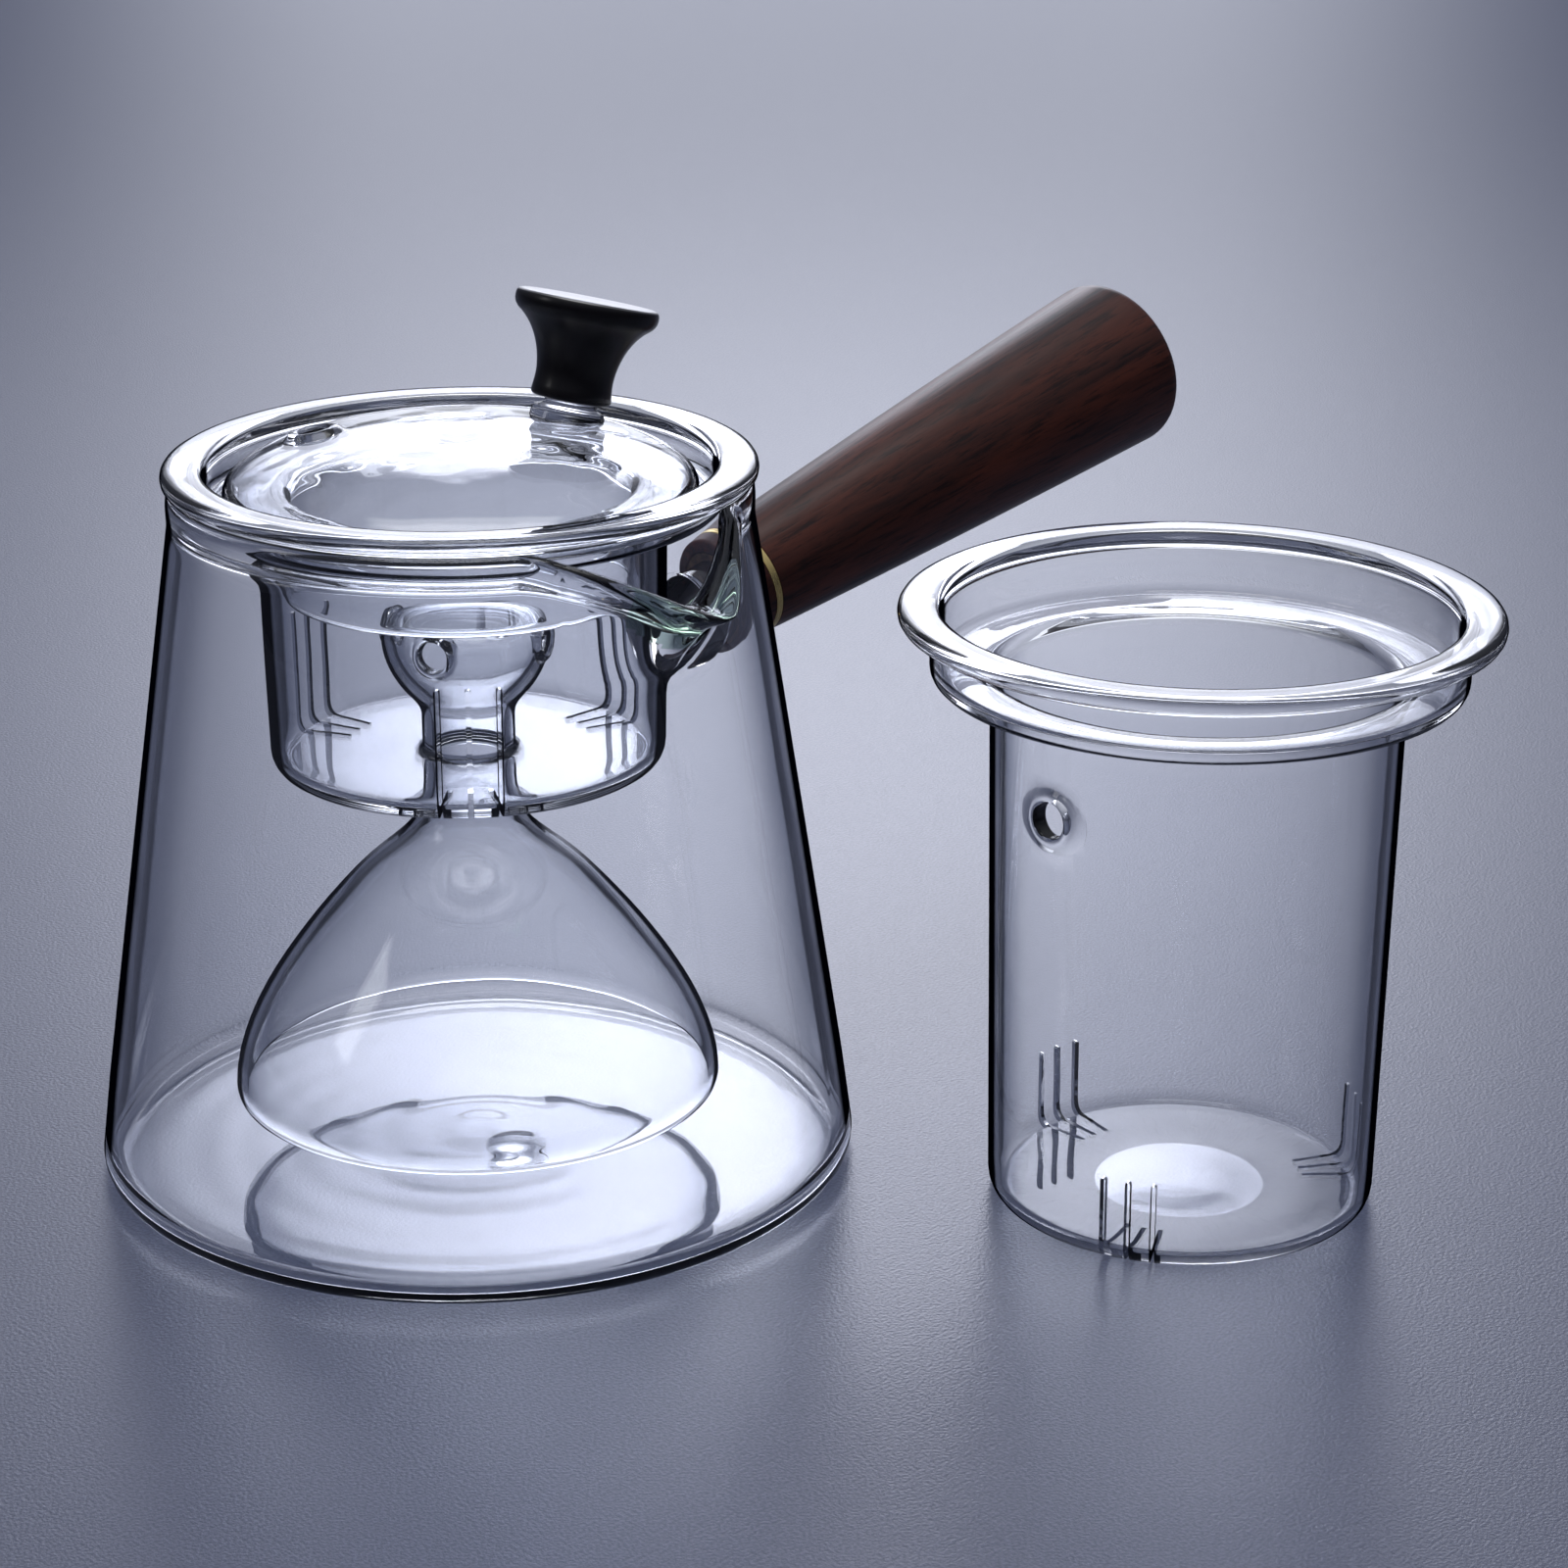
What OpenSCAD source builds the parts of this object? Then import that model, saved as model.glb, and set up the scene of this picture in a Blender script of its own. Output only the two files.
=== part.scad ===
// Side-handled glass teapot with a lift-out steaming infuser, its domed lid,
// and a spare tall infuser that stands beside it.
// Origin at the middle of the pot's base, +Z up, the handle along +X and the spout along -Y.

/* [Pot] */
// Radius of the pot's cone at the surface it stands on
pot_base_r = 64.6; // [60:0.1:70]
// Radius of the pot's cone at the height of its rim
pot_rim_r = 46.6; // [46:0.1:49]
// Height of the pot, from its base to the top of its rim
pot_h = 118; // [112:0.5:124]
// Thickness of the pot's wall, measured level
pot_wall = 2; // [1.6:0.1:2.2]
// Thickness of the pot's floor
pot_floor_t = 2.4; // [1.8:0.1:4]
// Radius of the rounded corner round the foot
pot_corner_r = 4; // [3:0.1:6]

/* [Rim bead] */
// How far the fire-polished rim stands out from the wall
bead_out = 1; // [0.2:0.1:1.5]
// How far the fire-polished rim stands in from the wall
bead_in = 0.6; // [0.2:0.1:0.8]
// Height of the rim bead
bead_h = 5.5; // [4:0.1:7]
// Rounding of the rim bead's edges
bead_round = 1.3; // [0.6:0.1:1.4]

/* [Spout] */
// Reach of the spout's tip from the pot's axis
spout_reach = 62.4; // [56:0.1:68]
// Height by which the tip lies below the rim
spout_drop = 9.9; // [6:0.1:13]
// Half the angle of rim that the spout takes up
spout_half_a = 30; // [24:0.5:36]
// Height of wall that is drawn out into the spout, below the tip
spout_depth = 13; // [10:0.5:20]
// How blunt the tip is, in degrees
spout_blunt = 3.2; // [2:0.1:5]
// Thickness of the spout's glass at its lip, as a multiple of the wall
spout_thick = 1.25; // [1:0.05:1.6]

/* [Infusers] */
// Outer radius of each infuser's flange
flange_r = 48.25; // [47.6:0.05:52]
// Thickness of each flange
flange_t = 3; // [2.2:0.1:4]
// Outer radius of the cup below each flange
cup_r = 43; // [41.5:0.1:43.5]
// Thickness of the cup's wall and shoulder
cup_wall = 1.7; // [1.3:0.1:2.2]
// Outer radius of each straining tube where it leaves the shoulder
tube_r = 33.3; // [32.5:0.1:34.5]
// Loss of radius for each millimetre down a straining tube
tube_taper = 0.015; // [0:0.001:0.03]
// Thickness of each straining tube's wall
tube_wall = 1.6; // [1.2:0.1:2]
// Radius of the corner round a straining tube's floor
tube_corner_r = 3.2; // [2.4:0.1:5]
// Thickness of each straining tube's floor
tube_floor_t = 1.8; // [1.4:0.1:2.6]

/* [Straining slots] */
// Width of one slot
slot_w = 0.95; // [0.7:0.05:1.6]
// Slots in one group
slot_count = 3; // [1:1:4]
// Groups of slots round a tube
slot_groups = 3; // [2:1:4]
// How far each slot runs in over the floor
slot_reach = 8; // [4:0.5:12]

/* [Steaming infuser] */
// Depth of the steaming infuser's cup, from the flange's top to the shoulder
steam_cup_d = 6.1; // [5.6:0.1:8]
// Length of the basket, from the shoulder's underside to its floor's underside
basket_len = 43.1; // [36:0.1:48]
// Height of the basket's slots above its floor's underside
basket_slot_h = 22.3; // [12:0.1:28]
// Angle between the basket's slots
basket_slot_a = 8.6; // [6:0.1:11]
// Direction of the middle slot of the basket's first group
basket_slot_dir = -130; // [-180:1:180]
// Outer radius of the steam tube
neck_r = 7.7; // [6.5:0.1:9]
// Outer radius of the bell's rim
bell_r = 41; // [36:0.1:42]
// Clearance of the bell's rim above the pot's floor
bell_gap = 10.2; // [6:0.1:20]
// Thickness of the bell, tube and bulb
bell_wall = 1.6; // [1.2:0.1:2.2]
// Length of steam tube between the basket's floor and the bulb
neck_up = 7; // [4:0.1:10]
// Outer radius of the steam bulb
bulb_r = 14.2; // [12:0.1:16]
// Height of the steam bulb above its tube
bulb_h = 19.2; // [16:0.1:20]
// Radius of each steam hole
steam_hole_r = 2.7; // [2:0.1:3.4]
// Number of steam holes
steam_holes = 4; // [3:1:6]
// Direction of the first steam hole
steam_hole_dir = 27; // [0:1:90]

/* [Lid] */
// Outer radius of the lid
lid_r = 38.5; // [37:0.1:39.5]
// Height of the lid's dome above its seat
lid_rise = 10.6; // [9:0.1:13]
// Thickness of the dome
lid_t = 1.9; // [1.6:0.1:2.4]
// Radius of the lid's rolled edge
lid_edge = 1.4; // [1:0.1:1.8]
// Thickness of the ring that runs in under the dome from the edge to the skirt
lid_floor_t = 1.8; // [1.4:0.1:2.4]
// Outer radius of the lid's skirt
skirt_r = 29.4; // [27:0.1:30]
// Thickness of the skirt
skirt_wall = 1.6; // [1.2:0.1:2]
// Reach of the skirt below the lid's seat
skirt_drop = 15.1; // [10:0.1:16]
// Radius of the lid's vent hole
lid_vent_r = 2.5; // [1.6:0.1:3.2]
// Distance of the vent hole from the lid's axis
lid_vent_at = 24.9; // [18:0.1:27]
// Direction of the vent hole
lid_vent_dir = 122; // [90:1:180]
// Outer radius of the raised ring round the vent hole
lid_vent_ring = 5.4; // [4.6:0.1:6.5]

/* [Knob] */
// Distance from the lid's axis to where the knob's stem stands
knob_at = 23.2; // [18:0.1:25]
// Lean of the knob away from the lid's axis
knob_tilt = 15.5; // [8:0.5:20]
// Radius of the glass stem
stem_r = 4; // [3:0.1:5]
// Radius of the stem's fused foot
stem_foot_r = 6.2; // [5.2:0.1:7.5]
// Glass that shows between the dome and the knob
stem_show = 2.6; // [1:0.1:4]
// How far the stem goes into the knob
stem_in = 9; // [6:0.5:12]
// Thickness of the cork round the stem inside the knob
cork_t = 1; // [0.6:0.1:1.4]
// Height of the wooden knob
knob_h = 17; // [14:0.5:22]
// Radius of the knob's underside
knob_low_r = 6.6; // [6.2:0.1:8]
// Radius of the knob's top
knob_top_r = 12; // [10:0.1:14]
// Thickness of the knob's rim
knob_lip = 3.3; // [2.4:0.1:4.5]

/* [Handle] */
// Height at which the handle's axis would meet the pot's axis
handle_z = 72.9; // [66:0.1:78]
// Rise of the handle away from the pot
handle_tilt = 12.4; // [8:0.1:16]
// Distance from the pot's axis to the wood, along the handle
handle_start = 60.1; // [58:0.1:64]
// Length of the wooden collar on the pot's side of the ring
collar_len = 3.3; // [2:0.1:6]
// Width of the brass ring
ring_w = 1.4; // [0.8:0.1:2.5]
// Whole length of the wood and its ring
handle_len = 107.4; // [90:0.1:125]
// Radius of the handle at the pot's end
handle_near_r = 9.85; // [9.2:0.05:12]
// Radius of the handle at its free end
handle_far_r = 16.1; // [13:0.1:18]
// Rounding of the handle's free end
handle_round = 2.4; // [1:0.1:4]
// Fullness of the handle's side between its ends
handle_belly = 0.3; // [0:0.05:1]
// Radius of the glass stub that carries the handle
stub_r = 6; // [5:0.1:6.6]
// How far the stub goes into the wood
stub_in = 32; // [24:1:40]
// Thickness of the cork sleeve between the stub and the wood
sleeve_t = 1.4; // [0.8:0.1:1.8]

/* [Spare tall infuser] */
// Place of the spare infuser along the handle's direction
tall_x = 70.9; // [66:0.1:90]
// Place of the spare infuser across the handle's direction
tall_y = -96.6; // [-130:0.1:-92]
// Height of the spare infuser
tall_h = 102; // [96:0.5:112]
// Depth of the spare infuser's cup, from the flange's top to the shoulder
tall_cup_d = 10.8; // [8:0.1:14]
// Height of the spare infuser's slots
tall_slot_h = 14.8; // [8:0.1:22]
// Angle between the spare infuser's slots
tall_slot_a = 7.5; // [6:0.1:11]
// Direction of the middle slot of the spare infuser's first group
tall_slot_dir = 84; // [-180:1:180]
// Height of the vent hole in the spare infuser's tube
tall_vent_z = 73.5; // [60:0.5:78]
// Direction of the vent hole in the spare infuser's tube
tall_vent_dir = 177; // [90:1:270]
// Radius of that vent hole
tall_vent_r = 3.1; // [2:0.1:4]
// Outer radius of the flare round that vent hole
tall_vent_flare = 7; // [6:0.1:8]

/* [Fits] */
// Clearance all round a stem or stub inside its cork, and a cork inside its wood
glue_gap = 0.05; // [0.02:0.01:0.1]

/* [Hidden] */
$fn = 96;

// Levels that follow from the sizes
flange_z = pot_h;
flange_top = flange_z + flange_t;
seat_z = flange_top - steam_cup_d;
shoulder_z = seat_z - cup_wall;
basket_z = shoulder_z - basket_len;
bell_z = pot_floor_t + bell_gap;
bell_h = basket_z - bell_z;
bulb_z = basket_z + tube_floor_t + neck_up;
tall_shoulder_z = tall_h - tall_cup_d - cup_wall;
wall_k = (pot_base_r - pot_rim_r) / pot_h;
spout_z = pot_h - spout_drop - spout_depth;

// Points of an arc
function arc(x, z, r, a0, a1, n) =
    [for (i = [0:n]) let (a = a0 + (a1 - a0) * i / n) [x + r * cos(a), z + r * sin(a)]];

// Points of an ellipse's arc
function oval(x, z, rx, rz, a0, a1, n) =
    [for (i = [0:n]) let (a = a0 + (a1 - a0) * i / n) [x + rx * cos(a), z + rz * sin(a)]];

// A point of a cubic curve, and its direction
function bez(p, t) = pow(1 - t, 3) * p[0] + 3 * t * pow(1 - t, 2) * p[1]
    + 3 * t * t * (1 - t) * p[2] + pow(t, 3) * p[3];
function bezd(p, t) = 3 * pow(1 - t, 2) * (p[1] - p[0]) + 6 * t * (1 - t) * (p[2] - p[1])
    + 3 * t * t * (p[3] - p[2]);

// A curve moved sideways by w, to its left
function shifted(p, t, w) = let (d = bezd(p, t), l = norm(d)) bez(p, t) + w * [-d[1], d[0]] / l;
function curve(p, w, n, i0 = 0) = [for (i = [i0:n]) shifted(p, i / n, w)];
function back(v) = [for (i = [len(v) - 1:-1:0]) v[i]];

// A rectangle with rounded corners
module round_box(x0, x1, z0, z1, r) {
    polygon(concat(arc(x1 - r, z0 + r, r, -90, 0, 5), arc(x1 - r, z1 - r, r, 0, 90, 5),
        arc(x0 + r, z1 - r, r, 90, 180, 5), arc(x0 + r, z0 + r, r, 180, 270, 5)));
}

// Outer radius of the pot's wall at a height
function wall_r(z) = pot_base_r - wall_k * z;

// A solid of the pot's outline, brought in by w from the side and standing on z0
module pot_form(w, z0, corner, z1) {
    s = sqrt(1 + wall_k * wall_k);
    cx = pot_base_r - w - wall_k * (z0 + corner) - corner * s;
    rotate_extrude() polygon(concat([[0, z0]], arc(cx, z0 + corner, corner, -90, atan(wall_k), 7),
        [[wall_r(z1) - w, z1], [0, z1]]));
}

// Places its children on the handle's axis, with the axis as their Z
module on_handle() {
    translate([0, 0, handle_z]) rotate([0, 90 - handle_tilt, 0]) children();
}

// The wedge of the pot that the spout takes up
module spout_wedge() {
    far = pot_base_r * 3;
    translate([0, 0, spout_z]) linear_extrude(pot_h)
        polygon([[0, 0], [-far * sin(spout_half_a), -far * cos(spout_half_a)],
            [far * sin(spout_half_a), -far * cos(spout_half_a)]]);
}

module pot_body() {
    color([0.86, 0.92, 0.91, 0.35]) difference() {
        union() {
            pot_form(0, 0, pot_corner_r, pot_h - bead_h / 2);
            rotate_extrude() round_box(pot_rim_r - pot_wall - bead_in, pot_rim_r + bead_out,
                pot_h - bead_h, pot_h, bead_round);
            on_handle() translate([0, 0, pot_rim_r - pot_wall])
                cylinder(r = stub_r, h = stub_root - pot_rim_r + pot_wall);
            on_handle() translate([0, 0, stub_root - stub_flare])
                cylinder(r1 = stub_r + stub_flare, r2 = stub_r, h = stub_flare);
        }
        pot_form(pot_wall, pot_floor_t, max(pot_corner_r - pot_wall, 1), pot_h - bead_h / 2);
        translate([0, 0, pot_h - bead_h / 2 - 0.01])
            cylinder(r = pot_rim_r - pot_wall - bead_in, h = bead_h);
        spout_wedge();
    }
}

// Where the wall meets the handle's axis, and where the stub becomes a piece of its own
wall_at = (pot_base_r - wall_k * handle_z) / (cos(handle_tilt) + wall_k * sin(handle_tilt));
stub_flare = 1.6;
stub_root = wall_at + stub_flare * 1.5;

// The spout: a section at each angle, bead and all, from the wall up to the lip
lip_root = pot_rim_r + bead_out * 0.5;
lip_a = sqrt(spout_half_a * spout_half_a + spout_blunt * spout_blunt);
lip_m = (spout_reach * cos(spout_blunt) - lip_root * cos(lip_a))
    / (lip_root * sin(lip_a) - spout_reach * sin(spout_blunt));
lip_c = spout_reach * (cos(spout_blunt) + lip_m * sin(spout_blunt));
lip_cap = 1.7;
function lip_r(a) = let (s = sqrt(a * a + spout_blunt * spout_blunt)) lip_c / (cos(s) + lip_m * sin(s));
function lip_share(a) = (lip_r(a) - lip_root) / (spout_reach - lip_root);
function lip_z(a) = pot_h - spout_drop * lip_share(a);
function spout_out(a, t) = let (z = spout_z + (lip_z(a) - lip_cap - spout_z) * t)
    wall_r(z) + (lip_r(a) - wall_r(lip_z(a) - lip_cap)) * pow(t, 1.6);
function spout_t(a, t) = let (s = (lip_r(a) - lip_root) / (lip_z(a) - spout_z) * 1.6 * pow(t, 0.6))
    pot_wall * sqrt(1 + s * s) * (1 + (spout_thick - 1) * pow(t, 2) + 0.15 * pow(t, 8));
function spout_section(a) = let (n = 10, zt = lip_z(a) - lip_cap, ro = spout_out(a, 1), w = spout_t(a, 1))
    concat([for (i = [0:n]) [spout_out(a, i / n), spout_z + (zt - spout_z) * i / n]],
        [for (i = [1:5]) [ro - w / 2 + w / 2 * cos(i * 30), zt + lip_cap * sin(i * 30)]],
        [for (i = [n:-1:0]) [spout_out(a, i / n) - spout_t(a, i / n), spout_z + (zt - spout_z) * i / n]]);

module spout() {
    n = 30;
    angles = [for (i = [0:n]) let (u = 2 * i / n - 1) spout_half_a * sign(u) * pow(abs(u), 1.35)];
    rings = [for (a = angles) spout_section(a)];
    m = len(rings[0]);
    points = [for (i = [0:n]) for (p = rings[i]) [p[0] * sin(angles[i]), -p[0] * cos(angles[i]), p[1]]];
    sides = [for (i = [0:n - 1]) for (j = [0:m - 1]) let (k = (j + 1) % m)
        each [[i * m + j, (i + 1) * m + j, (i + 1) * m + k], [i * m + j, (i + 1) * m + k, i * m + k]]];
    color([0.62, 0.72, 0.68, 0.5])
        polyhedron(points, concat(sides, [[for (j = [0:m - 1]) j], [for (j = [m - 1:-1:0]) n * m + j]]));
}

// Distances along the handle
ring_at = handle_start + collar_len;
grip_at = ring_at + ring_w;
handle_end = handle_start + handle_len;
sleeve_r = stub_r + glue_gap + sleeve_t;

// Outer radius of the wood at a distance along the handle
function grip_r(d) = let (u = (d - handle_start) / handle_len)
    handle_near_r + (handle_far_r - handle_near_r) * u + handle_belly * 4 * u * (1 - u);

module handle_stub() {
    color([0.86, 0.92, 0.91, 0.35]) on_handle() translate([0, 0, stub_root])
        cylinder(r = stub_r, h = handle_start + stub_in - stub_root);
}

module handle_sleeve() {
    color([0.72, 0.55, 0.38]) on_handle() translate([0, 0, handle_start]) difference() {
        cylinder(r = sleeve_r, h = stub_in);
        translate([0, 0, -1]) cylinder(r = stub_r + glue_gap, h = stub_in + 2);
    }
}

module handle_collar() {
    color([0.16, 0.09, 0.08]) on_handle() rotate_extrude()
        polygon([[sleeve_r + glue_gap, handle_start], [handle_near_r - 0.6, handle_start],
            [grip_r(handle_start + 0.6), handle_start + 0.6], [grip_r(ring_at), ring_at],
            [sleeve_r + glue_gap, ring_at]]);
}

module brass_ring() {
    color([0.79, 0.66, 0.36]) on_handle() rotate_extrude()
        polygon([[sleeve_r + glue_gap, ring_at], [grip_r(ring_at) + 0.05, ring_at],
            [grip_r(grip_at) + 0.05, grip_at], [sleeve_r + glue_gap, grip_at]]);
}

module handle_grip() {
    n = 10;
    side_end = handle_end - handle_round;
    color([0.19, 0.11, 0.10]) on_handle() difference() {
        rotate_extrude() polygon(concat([[0, grip_at]],
            [for (i = [0:n]) let (d = grip_at + (side_end - grip_at) * i / n) [grip_r(d), d]],
            arc(grip_r(side_end) - handle_round, side_end, handle_round, 12, 90, 6), [[0, handle_end]]));
        translate([0, 0, grip_at - 1])
            cylinder(r = sleeve_r + glue_gap, h = handle_start + stub_in - grip_at + 1);
    }
}

// A cup with its flange and shoulder, its underside at z and its flange's top at top
module cup(z, top) {
    r = cup_wall * 0.9;
    inner = cup_r - cup_wall;
    rotate_extrude() polygon(concat([[tube_r - tube_wall, z]],
        arc(cup_r - r, z + r, r, -90, 0, 5),
        [[cup_r, top - flange_t]],
        arc(flange_r - flange_t / 2, top - flange_t / 2, flange_t / 2, -90, 90, 10),
        arc(inner + 1, top - 1, 1, 90, 180, 4),
        arc(inner - 1, z + cup_wall + 1, 1, 0, -90, 4),
        arc(tube_r - tube_wall + 0.8, z + cup_wall - 0.8, 0.8, 90, 180, 4)));
}

// A straining tube of length len that stands on z, with its slots
module tube(z, len, slot_h, slot_a, dir, bore) {
    foot = tube_r - tube_taper * len;
    s = sqrt(1 + tube_taper * tube_taper);
    out_x = foot - tube_corner_r * (s - tube_taper);
    c = tube_corner_r - tube_wall;
    in_x = foot - tube_wall - c * (s - tube_taper);
    difference() {
        rotate_extrude() polygon(concat([[bore, z]],
            arc(out_x, z + tube_corner_r, tube_corner_r, -90, -atan(tube_taper), 6),
            [[tube_r, z + len], [tube_r - tube_wall, z + len]],
            arc(in_x, z + tube_floor_t + c, c, -atan(tube_taper), -90, 6),
            [[bore, z + tube_floor_t]]));
        for (g = [0:slot_groups - 1]) for (i = [0:slot_count - 1])
            rotate(dir + g * 360 / slot_groups + (i - (slot_count - 1) / 2) * slot_a)
                translate([foot - tube_corner_r - slot_reach, -slot_w / 2, z - 1])
                    cube([slot_reach + tube_corner_r + 6, slot_w, slot_h + 1]);
    }
}

module infuser_cup() {
    color([0.86, 0.92, 0.91, 0.35]) cup(shoulder_z, flange_top);
}

module infuser_basket() {
    color([0.80, 0.88, 0.88, 0.35])
        tube(basket_z, basket_len, basket_slot_h, basket_slot_a, basket_slot_dir, neck_r - bell_wall);
}

// The bulb's outline from the tube to its flat top, and the bell's from its rim to the tube
bulb_side = [[neck_r, bulb_z], [neck_r, bulb_z + bulb_h * 0.12],
    [bulb_r - 1.7, bulb_z + bulb_h * 0.31], [bulb_r, bulb_z + bulb_h * 0.6]];
bulb_top = [[bulb_r, bulb_z + bulb_h * 0.6], [bulb_r, bulb_z + bulb_h * 0.96],
    [bulb_r * 0.94, bulb_z + bulb_h], [bulb_r * 0.62, bulb_z + bulb_h]];
bell_mid = [bell_r * 0.5, bell_z + bell_h * 0.63];
bell_low = [[bell_r, bell_z], [bell_r, bell_z + bell_h * 0.21],
    bell_mid + bell_h * [0.14, -0.155], bell_mid];
bell_top = [bell_mid, bell_mid + bell_h * [-0.105, 0.116],
    [neck_r, bell_z + bell_h * 0.78], [neck_r, bell_z + bell_h * 0.93]];

module steam_bulb() {
    hole_z = bulb_z + bulb_h * 0.667;
    color([0.80, 0.88, 0.88, 0.35]) difference() {
        union() {
            rotate_extrude() polygon(concat([[neck_r - bell_wall, basket_z + tube_floor_t],
                [neck_r, basket_z + tube_floor_t]], curve(bulb_side, 0, 7), curve(bulb_top, 0, 6, 1),
                [[0, bulb_z + bulb_h], [0, bulb_z + bulb_h - bell_wall]],
                back(curve(bulb_top, bell_wall, 6, 1)), back(curve(bulb_side, bell_wall, 7))));
            for (i = [0:steam_holes - 1]) rotate(steam_hole_dir + i * 360 / steam_holes)
                translate([bulb_r - bell_wall * 0.8, 0, hole_z]) rotate([0, 90, 0]) difference() {
                    cylinder(r = steam_hole_r + 1.1, h = bell_wall * 0.8 + 0.3);
                    translate([0, 0, -1]) cylinder(r = steam_hole_r, h = bell_wall + 3);
                }
        }
        for (i = [0:steam_holes - 1]) rotate(steam_hole_dir + i * 360 / steam_holes)
            translate([bulb_r * 0.4, 0, hole_z]) rotate([0, 90, 0]) cylinder(r = steam_hole_r, h = bulb_r);
    }
}

module steam_bell() {
    w = bell_wall;
    color([0.80, 0.88, 0.88, 0.35]) rotate_extrude() polygon(concat(
        arc(bell_r - w / 2, bell_z + w / 2, w / 2, -180, 0, 6),
        curve(bell_low, 0, 10, 1), curve(bell_top, 0, 8, 1),
        [[neck_r, basket_z], [neck_r - w, basket_z]],
        back(curve(bell_top, w, 8, 1)), back(curve(bell_low, w, 10, 1))));
}

// The lid's dome, an ellipse that rolls over at the edge into the ring under it
dome_z = seat_z + lid_edge;
dome_h = lid_rise - lid_edge;
ring_top = seat_z + lid_floor_t;
skirt_in = skirt_r - skirt_wall;
bend_r = 0.8;
foot_top = stem_show / 2;
function dome_at(r) = dome_z + dome_h * sqrt(1 - pow(r / lid_r, 2));
function dome_lean(r) = atan(dome_h * r / lid_r / sqrt(lid_r * lid_r - r * r));
function dome_point(a, w) = let (n = norm([dome_h * cos(a), lid_r * sin(a)]))
    [(lid_r - w * dome_h / n) * cos(a), dome_z + (dome_h - w * lid_r / n) * sin(a)];
function dome_curve(a0, w) = [for (i = [0:20]) dome_point(a0 + (90 - a0) * i / 20, w)];
inside_a0 = 15;

// A solid of the lid's inside, which opens into the skirt
module dome_hollow() {
    rotate_extrude() polygon(concat([[0, seat_z - 1], [skirt_in, seat_z - 1]],
        arc(skirt_in + bend_r, ring_top - bend_r, bend_r, 180, 90, 4),
        [[dome_point(inside_a0, lid_t)[0] - bend_r, ring_top]], dome_curve(inside_a0, lid_t)));
}

// Places its children on the dome where the knob stands, with the knob's axis as their Z
module on_knob() {
    translate([knob_at, 0, dome_at(knob_at)]) rotate([0, knob_tilt, 0]) children();
}

module lid_dome() {
    color([0.86, 0.92, 0.91, 0.35]) difference() {
        union() {
            rotate_extrude() polygon(concat([[0, seat_z]],
                arc(lid_r - lid_edge, dome_z, lid_edge, -90, 0, 6), dome_curve(4, 0)));
            on_knob() translate([0, 0, -lid_t * 2]) cylinder(r1 = stem_foot_r + 0.4, r2 = stem_foot_r,
                h = lid_t * 2 + foot_top);
            rotate([0, 0, lid_vent_dir]) translate([lid_vent_at, 0, dome_at(lid_vent_at)])
                rotate([0, dome_lean(lid_vent_at), 0]) translate([0, 0, -lid_t])
                    cylinder(r1 = lid_vent_ring + 0.6, r2 = lid_vent_ring - 1.2, h = lid_t + 1);
        }
        dome_hollow();
        rotate([0, 0, lid_vent_dir]) translate([lid_vent_at, 0, dome_at(lid_vent_at)])
            rotate([0, dome_lean(lid_vent_at), 0]) translate([0, 0, -lid_t * 2.2])
                cylinder(r = lid_vent_r, h = lid_t * 4);
    }
}

module lid_skirt() {
    w = skirt_wall;
    z = seat_z - skirt_drop;
    color([0.80, 0.88, 0.88, 0.35]) rotate_extrude() polygon(concat(
        arc(skirt_r - w / 2, z + w / 2, w / 2, -180, 0, 6),
        [[skirt_r, seat_z], [skirt_in, seat_z]]));
}

knob_seat = stem_show;
cork_r = stem_r + glue_gap + cork_t;

module knob_stem() {
    color([0.86, 0.92, 0.91, 0.35]) on_knob() translate([0, 0, foot_top])
        cylinder(r = stem_r, h = knob_seat + stem_in - foot_top);
}

module knob_cork() {
    color([0.72, 0.55, 0.38]) on_knob() translate([0, 0, knob_seat]) difference() {
        cylinder(r = cork_r, h = stem_in);
        translate([0, 0, -1]) cylinder(r = stem_r + glue_gap, h = stem_in + 2);
    }
}

module knob() {
    side = [[knob_low_r, knob_seat + 0.8], [knob_low_r + 0.4, knob_seat + knob_h * 0.42],
        [knob_low_r + 1.8, knob_seat + knob_h * 0.68], [knob_top_r - 1, knob_seat + knob_h - knob_lip]];
    top = knob_seat + knob_h;
    color([0.10, 0.07, 0.07]) on_knob() difference() {
        rotate_extrude() polygon(concat([[0, knob_seat], [knob_low_r - 0.6, knob_seat]],
            curve(side, 0, 10),
            oval(knob_top_r - 1, top - knob_lip / 2, 1, knob_lip / 2, -60, 90, 8),
            [[0, top]]));
        translate([0, 0, knob_seat - 1]) cylinder(r = cork_r + glue_gap, h = stem_in + 1);
    }
}

module tall_cup() {
    color([0.86, 0.92, 0.91, 0.35]) translate([tall_x, tall_y, 0]) cup(tall_shoulder_z, tall_h);
}

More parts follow.
